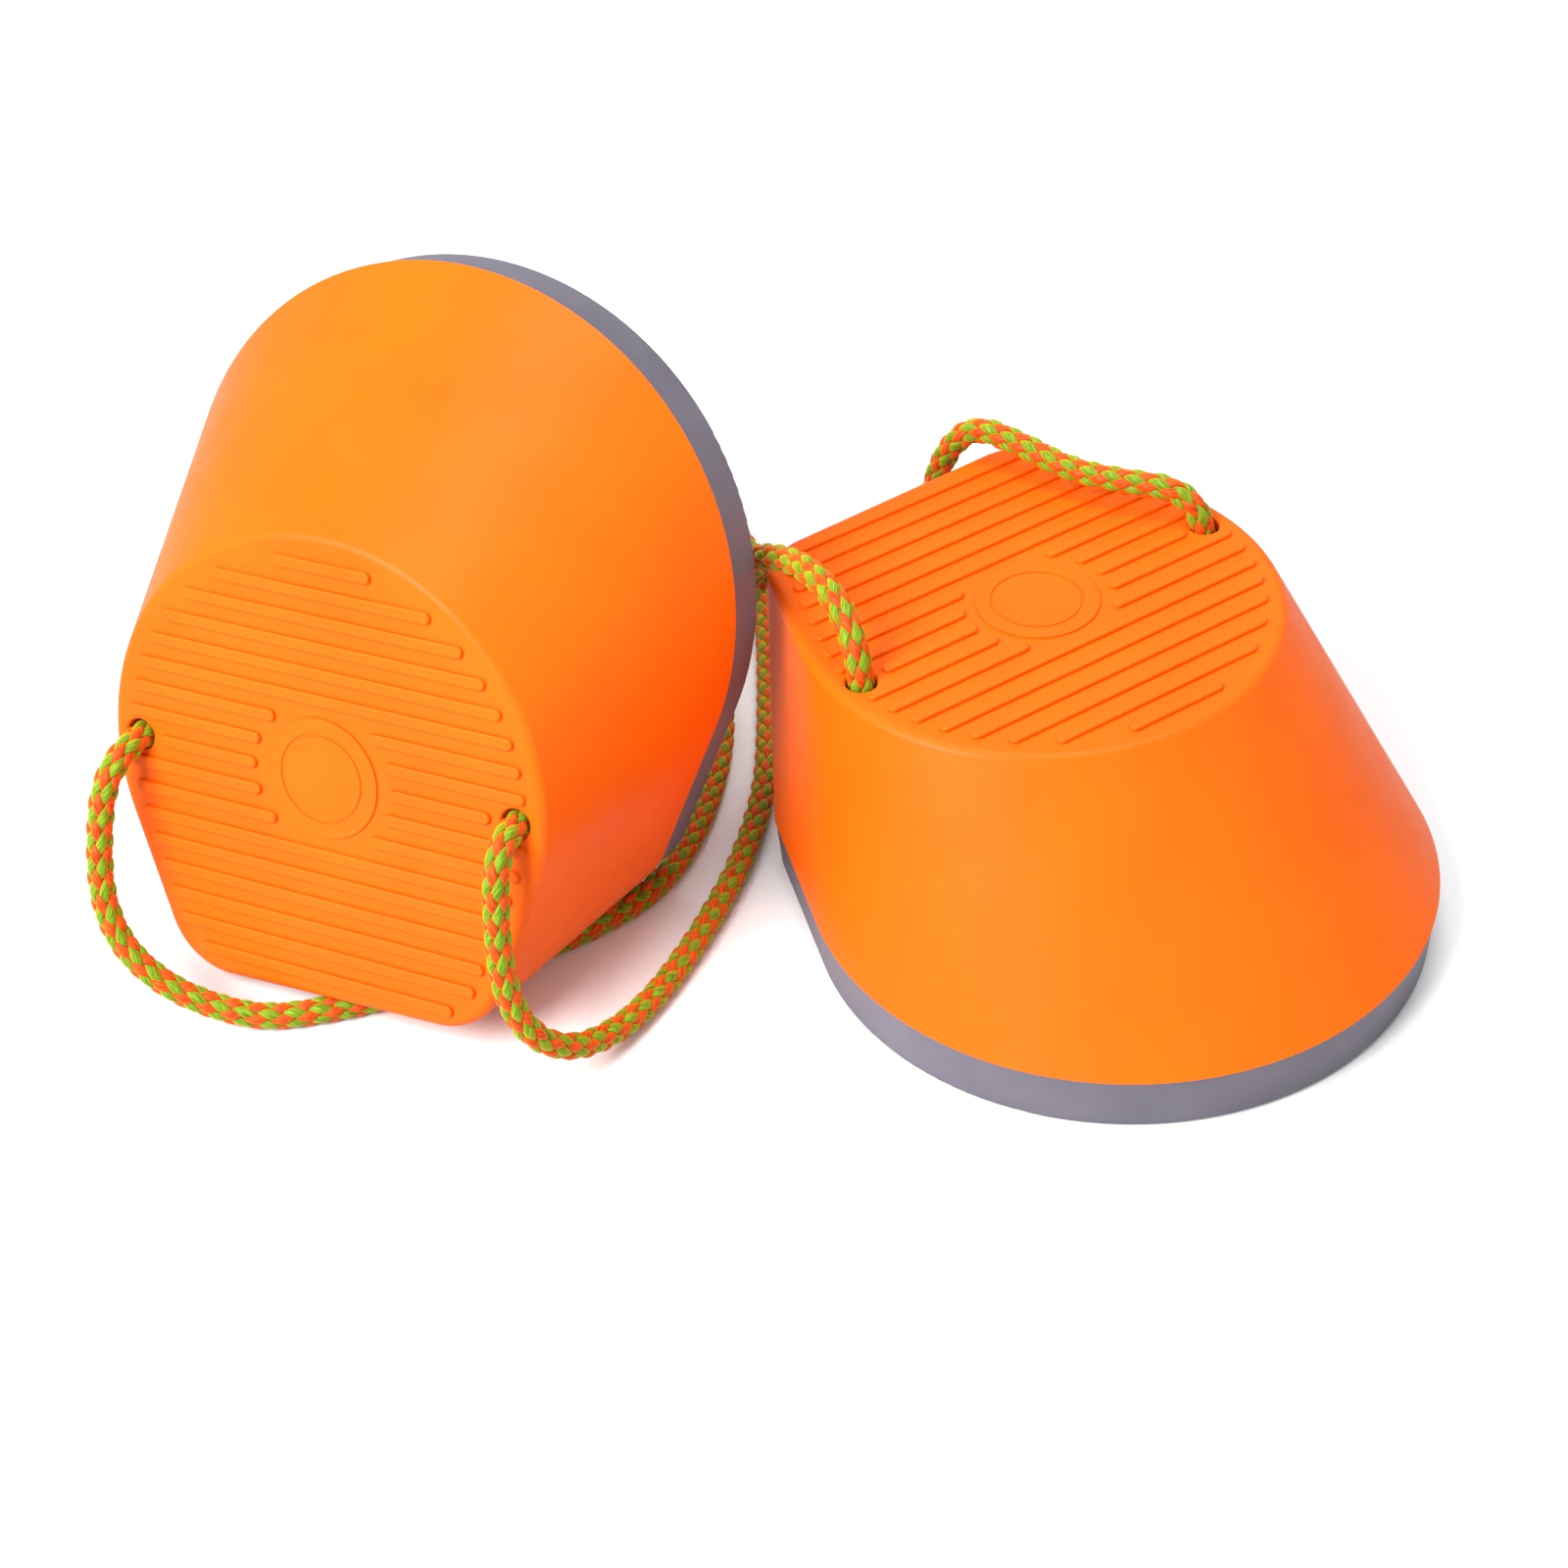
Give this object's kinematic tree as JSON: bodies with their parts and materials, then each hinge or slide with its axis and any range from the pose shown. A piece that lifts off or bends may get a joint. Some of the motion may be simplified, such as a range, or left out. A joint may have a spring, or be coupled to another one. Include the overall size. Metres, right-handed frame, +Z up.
{
  "type": "children's cup stilts",
  "caption": "Pair of moulded cup stilts with ribbed foot decks, rubber foot rings and rope handles; one stands, one lies tipped on its flat side.",
  "frame": {"origin": "on the floor under the middle of the pair's box, ropes not counted", "axes": "+Z up; +X from the lying cup to the standing one; the ribbed decks are seen from -Y, and the spare rope lies on the +Y side"},
  "size_m": [0.4019, 0.3251, 0.1853],
  "materials": {
    "shell_plastic": "satin injection-moulded orange plastic",
    "ring_rubber": "matt blue-grey rubber",
    "rope": "braided green and orange synthetic cord",
    "tie_strap": "woven dark strap"
  },
  "bodies": {
    "standing_cup": {"standing_shell": "shell_plastic", "standing_foot_ring": "ring_rubber", "standing_knot_left": "rope", "standing_knot_right": "rope", "standing_rope_left": "rope", "standing_rope_right": "rope", "standing_rope_coil": "rope", "standing_rope_tie": "tie_strap"},
    "lying_cup": {"lying_shell": "shell_plastic", "lying_foot_ring": "ring_rubber", "lying_knot_left": "rope", "lying_knot_right": "rope", "lying_rope": "rope"}
  },
  "joints": [
    {"name": "lying_cup_pull", "type": "slide", "parent": "standing_cup", "child": "lying_cup", "axis": [-0.4542, -0.8414, 0.2928], "range_m": [0, 0.25]}
  ]
}
